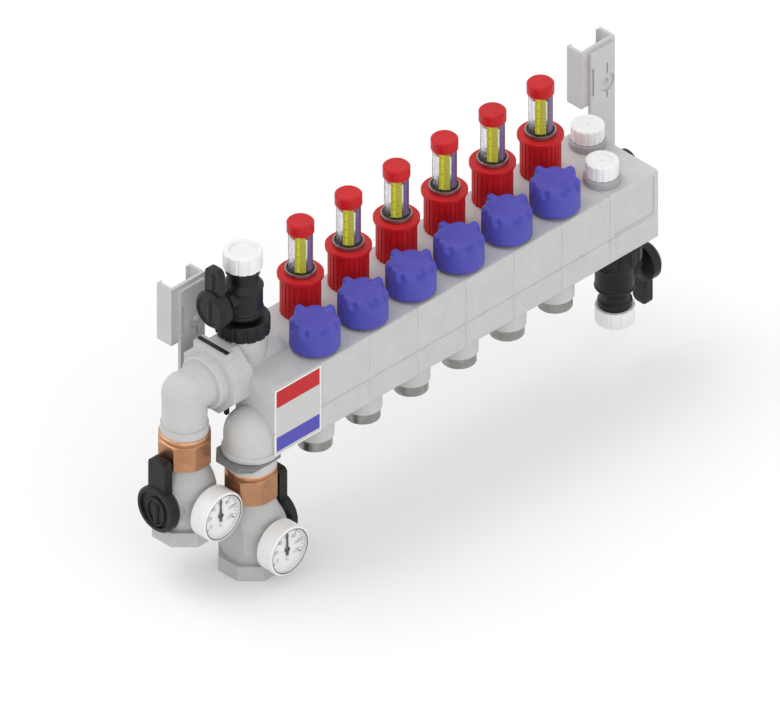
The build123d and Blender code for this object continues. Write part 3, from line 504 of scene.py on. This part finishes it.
def scale_material(name, ground, mark, rows):
    """A printed flow scale: ground colour with rows of dark ticks up the strip, longer every fifth,
    from the strip's own map, and a row of small broken marks beside them for its figures."""
    material, tree, shader, _ = start(name)
    chart = add(tree, "ShaderNodeUVMap", {"uv_map": "UVMap"}).outputs["UV"]
    axes = add(tree, "ShaderNodeSeparateXYZ", Vector=chart)
    specks = add(tree, "ShaderNodeTexNoise", Vector=chart, Scale=34.0, Detail=0.0)
    value = {"across": axes.outputs["X"], "up": axes.outputs["Y"], "specks": specks.outputs["Fac"]}
    for result, operation, first, second in (
            ("row", "MULTIPLY", "up", rows), ("share of row", "FRACT", "row", 0.0),
            ("tick", "LESS_THAN", "share of row", 0.3),
            ("five", "MULTIPLY", "up", rows / 5), ("share of five", "FRACT", "five", 0.0),
            ("is long", "LESS_THAN", "share of five", 0.2),
            ("extra", "MULTIPLY", "is long", 0.22), ("length", "ADD", "extra", 0.2),
            ("in length", "LESS_THAN", "across", "length"),
            ("ticks", "MULTIPLY", "tick", "in length"),
            ("broken", "GREATER_THAN", "specks", 0.54), ("beside", "GREATER_THAN", "across", 0.45),
            ("figures", "MULTIPLY", "broken", "beside"), ("mask", "MAXIMUM", "ticks", "figures")):
        value[result] = add(tree, "ShaderNodeMath", {"operation": operation},
                            _0=value.get(first, first), _1=value.get(second, second)).outputs[0]
    colour = add(tree, "ShaderNodeMix", {"data_type": "RGBA"}, Factor=value["mask"],
                 _6=linear(ground), _7=linear(mark))
    feed(tree, shader, Base_Color=colour.outputs[2], Roughness=0.35)
    return material


# Glass-filled polyamide 66, moulded and matt: an even pale grey with faint fibre streaks.
grey_polymer = moulded("glass_filled_polyamide_grey", "c7c7c6", "cdcdcc",
                       rough=0.46, grain=0.6, relief=0.008, fibre=0.25)
# The same polyamide on the valve bodies, a shade darker: painted shade for the shadow near the
# floor.
shaded_valve_polymer = moulded("glass_filled_polyamide_grey_painted_shade_valves", "b9b9b8", "c0c0bf",
                        rough=0.46, grain=0.6, relief=0.008, fibre=0.25)
# The same polyamide with carbon black in it, for the fork clip: slate grey.
clip_polymer = moulded("glass_filled_polyamide_slate_grey", "737476", "7f8082",
                       rough=0.4, grain=0.6, relief=0.01, fibre=0.3)
# The same polyamide in the darker batch of the vent bases: a middle grey.
dark_grey_polymer = moulded("glass_filled_polyamide_dark_grey", "a3a4a4", "aeafaf",
                            rough=0.45, grain=0.6, relief=0.01, fibre=0.3)
# Moulded ABS, satin: a saturated signal red that keeps small soft highlights.
red_polymer = moulded("moulded_abs_red", "bf151b", "c91c22",
                      rough=0.36, grain=0.7, relief=0.008, sheen=0.25)
# Moulded polypropylene, matt: a violet blue with no clear highlight.
blue_polymer = moulded("moulded_polypropylene_violet_blue", "4b49ab", "5350b2",
                       rough=0.46, grain=0.7, relief=0.008, sheen=0.3)
# Glass-filled polyamide, black: nearly black with broad grey sheen.
black_polymer = moulded("glass_filled_polyamide_black", "0e0e0f", "171718",
                        rough=0.4, grain=0.8, relief=0.015, sheen=0.35)
# Acetal, moulded white: clean white, slightly glossy.
white_polymer = moulded("moulded_acetal_white", "ececeb", "f4f4f3",
                        rough=0.3, grain=0.7, relief=0.006)
# Nickel-plated brass, turned: satin grey metal with lines round the axis.
nickel = turned("nickel_plated_brass_turned", "8f8e8b", "aeadaa",
                rough=0.3, step=0.8, axis_scale=(0.05, 0.05, 1))
# Copper-coloured brass nuts, turned and tumbled: warm satin metal.
copper = turned("brass_union_nut_copper_tone", "b07f5f", "c79673",
                rough=0.34, step=1.0, axis_scale=(0.08, 0.08, 1))
# Burnished rolled beads of the nuts: the same metal, smoother, and painted lighter as a painted
# highlight.
polish_and_highlight = turned("brass_bead_polished_painted_highlight", "cf9a74", "e2b08b",
                   rough=0.2, step=1.0, axis_scale=(0.08, 0.08, 1))
# Chromed brass, polished, on the balls inside the valves: a bright mirror.
chrome = turned("chromed_brass_polished", "c9c9c9", "d8d8d8",
                rough=0.12, step=1.2, axis_scale=(1, 1, 1))
# Moulded polycarbonate on the flow tubes: clear, with bright edges.
clear_polymer = clear_material("moulded_polycarbonate_clear",
                               rough=0.03, facing=0.12, edge=0.8, wave=0.02)
# The thermometers' flat panes are polished, so the dial stays sharp behind them.
window_pane = clear_material("polished_polycarbonate_pane",
                             rough=0.004, facing=0.03, edge=0.25, wave=0.002)
# Screen ink on the dials and tubes, and the rubber line round the panes: a soft black.
dial_ink = printed("screen_ink_black", "2a2a2c", "3a3a3c", rough=0.5)
# Enamel on the dials: a clean matt white.
dial_enamel = printed("enamelled_dial_white", "fbfbfa", "f5f5f4", rough=0.4)
# Printed film on the flow tubes: lime with olive marks, and at its side the same scale in violet
# with dark marks as painted shade.
lime_scale = scale_material("printed_scale_film_lime", "d9d63c", "4f511c", rows=22.0)
violet_shade_scale = scale_material("printed_scale_film_violet_painted_shade", "7d6385", "33263d", rows=22.0)

finish_of = {
    "grey_polymer": grey_polymer,
    "dark_grey_polymer": dark_grey_polymer,
    "red_polymer": red_polymer,
    "blue_polymer": blue_polymer,
    "black_polymer": black_polymer,
    "white_polymer": white_polymer,
    "clear_polymer": clear_polymer,
    "nickel_plating": nickel,
    "copper_finish": copper,
    "chromed_brass": chrome,
}
for part in frame["record"]["subparts"]:
    slots = nodes[part["node"]].data.materials
    slots.clear()
    slots.append(finish_of[part["material_slot"]])
# The valve bodies take the darker copy of the grey, with its painted shade.
for node, finish in (("thermometer_windows", window_pane), ("return_clip", clip_polymer),
                     ("supply_valve_body", shaded_valve_polymer), ("return_valve_body", shaded_valve_polymer)):
    nodes[node].data.materials[0] = finish

# Label on the block.
label_left, label_right, label_low, label_high = -61.5, -13.5, 27.4, 86.0
block_front, film = -20.0, 0.12
red_band, blue_band = (70.0, 84.6), (30.8, 43.4)
label = plate("circuit_label",
              ((label_left + label_right) / 2, block_front, (label_low + label_high) / 2),
              ((label_right - label_left) / 2, 0, 0), (0, 0, (label_high - label_low) / 2), film,
              label_material(label_left, label_right, label_low, label_high, red_band, blue_band))
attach(label, "root")

# Hand caps.
ear_room = 2.0
for circuit in range(circuits):
    low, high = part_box(f"hand_cap_{circuit + 1}")
    cap = eared_cap(f"return_hand_cap_{circuit + 1}", (pitch * circuit, 0.0), low.z / MM,
                    high.z / MM - ear_room, radius=19.0, inner=15.2, ear_count=4,
                    material=blue_polymer)
    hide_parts(f"hand_cap_{circuit + 1}")
    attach(cap, f"cap_{circuit + 1}")

# Beads on the valve levers.
turns = {joint["name"]: [value / MM for value in joint["pos_m"]]
         for joint in frame["record"]["behaviour"]["joints"] if "pos_m" in joint}
lever_dish = 2.0
loop_path = ring_path(48, (8.6, 11.5)) - (0.0, 2.0)
bar_path = upright_path(14, -13.0, 5.0)
for name, side in (("supply", -1), ("return", 1)):
    low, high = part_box(f"{name}_valve_lever")
    face = (low.x if side < 0 else high.x) / MM
    hub = turns[f"{name}_lever_turn"]
    centre = (face - side * lever_dish, hub[1], hub[2])
    right = (0, side, 0)
    loop = bead(f"{name}_lever_loop", centre, right, UP, loop_path, width=2.6, height=1.8,
                closed=True, material=black_polymer)
    grip = bead(f"{name}_lever_bar", centre, right, UP, bar_path, width=5.0, height=1.9,
                closed=False, material=black_polymer)
    for piece in (loop, grip):
        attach(piece, f"{name}_lever")

# Burnished beads round the tops of the two union nuts, painted lighter as a highlight.
nut_reach = 24.0
for name in ("supply", "return"):
    axis = turns[f"{name}_lever_turn"]
    nut_top = top_near("union_nuts", axis, 0.0, nut_reach)
    piece = bead(f"{name}_nut_bead", (axis[0], axis[1], nut_top), RIGHT, BACK,
                 ring_path(96, 18.35), width=1.9, height=0.9, closed=True, material=polish_and_highlight)
    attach(piece, "root")

# Raised rings and finger ribs on the service valves' handles; the paddle lies below the wheel.
paddle_step = 3.0
ring = ring_path(48, 12.2)
rib, grip = upright_path(14, -10.0, 10.0), upright_path(10, 17.5, 32.0)
for name, side, up in (("fill", -1, 1), ("drain", 1, -1)):
    low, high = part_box(f"{name}_valve_handle")
    hub = turns[f"{name}_handle_turn"]
    face = (low.x if side < 0 else high.x) / MM
    for piece_name, path, sunk, width, height, closed in (
            ("ring", ring, 0.0, 2.4, 1.1, True), ("rib", up * rib, 0.0, 4.0, 1.3, False),
            ("grip", up * grip, paddle_step, 5.0, 1.4, False)):
        centre = (face - side * sunk, hub[1], hub[2])
        piece = bead(f"{name}_handle_{piece_name}", centre, (0, side, 0), UP, path, width, height,
                     closed, black_polymer)
        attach(piece, f"{name}_handle")

# Raised rings on the barrels of the service valves, below and above the handle's stem: each
# sleeve's two ends and its hoops are heights over the seat on the manifold.
cap_seat, barrel_radius = 57.3, 15.0
sleeves = (("foot", 15.2, 23.0, (17.4, 20.4)), ("neck", 38.3, 40.8, (39.6,)))
for name, up in (("fill", 1), ("drain", -1)):
    low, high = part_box(f"{name}_valve_cap")
    axis = ((low.x + high.x) / 2 / MM, (low.y + high.y) / 2 / MM)
    seat = (low.z if up > 0 else high.z) / MM - up * cap_seat
    for part_name, near, far, hoops in sleeves:
        ends = sorted((seat + up * near, seat + up * far))
        sleeve = ringed_sleeve(f"{name}_valve_{part_name}_rings", axis, barrel_radius, *ends,
                               hoops=[seat + up * h for h in hoops], width=1.7, rise=0.55,
                               material=black_polymer)
        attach(sleeve, "root")

# Scales, ticks and black rings of the flow tubes. Their angles are counted from the photo's side.
toward_viewer = -135.0
first_tube, tube_row = 25.0, 40.0
scale_size = {"radius": 9.22, "low": 126.2, "high": 157.6}
ticks_size = {"radius": 9.3, "low": 127.5, "high": 156.5, "rungs": 20}
ring_zone = (9.0, 13.0)
for circuit in range(circuits):
    axis = (first_tube + pitch * circuit, tube_row)
    strip = wrapped(f"flow_scale_{circuit + 1}", axis, first=toward_viewer - 26,
                    last=toward_viewer + 26, material=lime_scale, **scale_size)
    # A violet copy of the scale at the tube's side, as painted shade.
    shade = wrapped(f"flow_scale_back_{circuit + 1}", axis, first=toward_viewer + 34,
                    last=toward_viewer + 86, material=violet_shade_scale, **scale_size)
    ticks = ladder(f"flow_ticks_{circuit + 1}", axis, first=toward_viewer - 78,
                   last=toward_viewer - 66, material=dial_ink, **ticks_size)
    for piece in (strip, shade, ticks):
        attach(piece, "root")
    # A black ring in the gap round each tube's foot: a dark piece standing in as painted shade.
    foot = (*axis, top_near("flow_meter_bodies", axis, *ring_zone))
    black_ring = bead(f"flow_tube_gap_shade_{circuit + 1}", foot, RIGHT, BACK, ring_path(64, 10.1),
                width=1.5, height=0.8, closed=True, material=black_polymer)
    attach(black_ring, "root")

# Dials: a white face, ticks every ten degrees of the sweep with a longer one at each figure, the
# figures, and the seal round the pane.
dial_before_axis, pane_before_dial = 37.0, 3.8
dial_radius, dial_crown = 18.1, 0.12
print_lift, print_film = 0.16, 0.05
tick_end, figure_ring, unit_ring, figure_size = 17.2, 11.2, 9.0, 4.4
sweep_end, tick_step, figure_step = 120, 10, 40
bars = [(a, 13.8, tick_end, 0.8) if a % figure_step == 0 else (a, 15.2, tick_end, 0.45)
        for a in range(-sweep_end, sweep_end + 1, tick_step)]
words = [(str(20 * n), a, figure_ring, figure_size)
         for n, a in enumerate(range(-sweep_end, sweep_end + 1, figure_step))]
words.append(("°C", 180, unit_ring, figure_size))
for name in ("supply", "return"):
    across_x, _, up_z = turns[f"{name}_pointer_turn"]
    front = turns[f"{name}_lever_turn"][1] - dial_before_axis
    face = disc(f"{name}_dial_face", (across_x, front, up_z), dial_radius, dial_crown, dial_enamel)
    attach(face, "root")
    ticks = marks(f"{name}_dial_ticks", (across_x, front - print_lift, up_z), RIGHT, UP, bars,
                  print_film, dial_ink)
    figures = lettering(f"{name}_dial_figures", words,
                        (across_x, front - print_lift - print_film, up_z), RIGHT, UP, dial_ink)
    black_ring = bead(f"{name}_pane_seal", (across_x, front - pane_before_dial, up_z), RIGHT, UP,
                ring_path(96, 18.15), width=0.8, height=0.2, closed=True, material=dial_ink)
    for piece in (ticks, figures, black_ring):
        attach(piece, "root")

# Floor: matt paper just under the part, pure white to the camera and a little greyer to the light.
floor_half, floor_gap = 3000.0, 0.2
floor_height = solid_box[0][2] / MM - floor_gap
floor_x, floor_y = np.meshgrid((-floor_half, floor_half), (-floor_half, floor_half))
floor_points = np.stack(np.broadcast_arrays(floor_x, floor_y, floor_height), axis=-1)
floor_material, tree, shader, place = start("matt_paper_floor")
speck = add(tree, "ShaderNodeTexNoise", Vector=place, Scale=60.0)
paper = ramp(tree, speck.outputs["Fac"], (0.3, "eeeeee"), (0.7, "f1f1f1"))
seen = add(tree, "ShaderNodeLightPath").outputs["Is Camera Ray"]
paper = add(tree, "ShaderNodeMix", {"data_type": "RGBA"}, Factor=seen, _6=paper,
            _7=linear("ffffff"))
feed(tree, shader, Base_Color=paper.outputs[2], Roughness=0.9, Specular_IOR_Level=0.0)
floor = surface("floor", floor_points, floor_material)

# Sky: white where it is seen, directly, through a clear piece or as a reflection, and a little
# dimmer as light.
world = bpy.data.worlds.new("studio")
bpy.context.scene.world = world
world.use_nodes = True
sky = world.node_tree
sky.nodes.clear()
ray = add(sky, "ShaderNodeLightPath").outputs
seen = ray["Is Camera Ray"]
for kind in ("Is Transmission Ray", "Is Glossy Ray"):
    seen = add(sky, "ShaderNodeMath", {"operation": "MAXIMUM"}, _0=seen, _1=ray[kind]).outputs[0]
level = add(sky, "ShaderNodeMapRange", Value=seen, To_Min=0.84, To_Max=1.0)
light = add(sky, "ShaderNodeBackground", Color=(1, 1, 1, 1), Strength=level.outputs["Result"])
add(sky, "ShaderNodeOutputWorld", Surface=light.outputs["Background"])

# Lamps: each has its strength, its spread in degrees and the way that its light goes.
for name, energy, spread, way in (("overhead_softbox", 0.62, 40, (0.22, -0.62, -1.0)),
                                  ("front_fill", 0.5, 70, (0.45, 1.0, -0.4))):
    sun = bpy.data.lights.new(name, "SUN")
    sun.energy = energy
    sun.angle = math.radians(spread)
    lamp = bpy.data.objects.new(name, sun)
    bpy.context.scene.collection.objects.link(lamp)
    lamp.rotation_euler = Vector(way).to_track_quat("-Z", "Y").to_euler()

# Camera: the photo's isometric view, in metres.
camera_data = bpy.data.cameras.new("camera")
camera_data.type = "ORTHO"
camera_data.ortho_scale = 0.5744
camera_data.clip_end = 20
camera = bpy.data.objects.new("camera", camera_data)
bpy.context.scene.collection.objects.link(camera)
target = Vector((0.0695, -0.0088, 0.050))
back, distance = Vector((-1, -1, 1)).normalized(), 2.0
camera.location = target + back * distance
camera.rotation_euler = (-back).to_track_quat("-Z", "Y").to_euler()
bpy.context.scene.camera = camera
bpy.context.scene.view_settings.view_transform = "Standard"

bpy.context.view_layer.update()
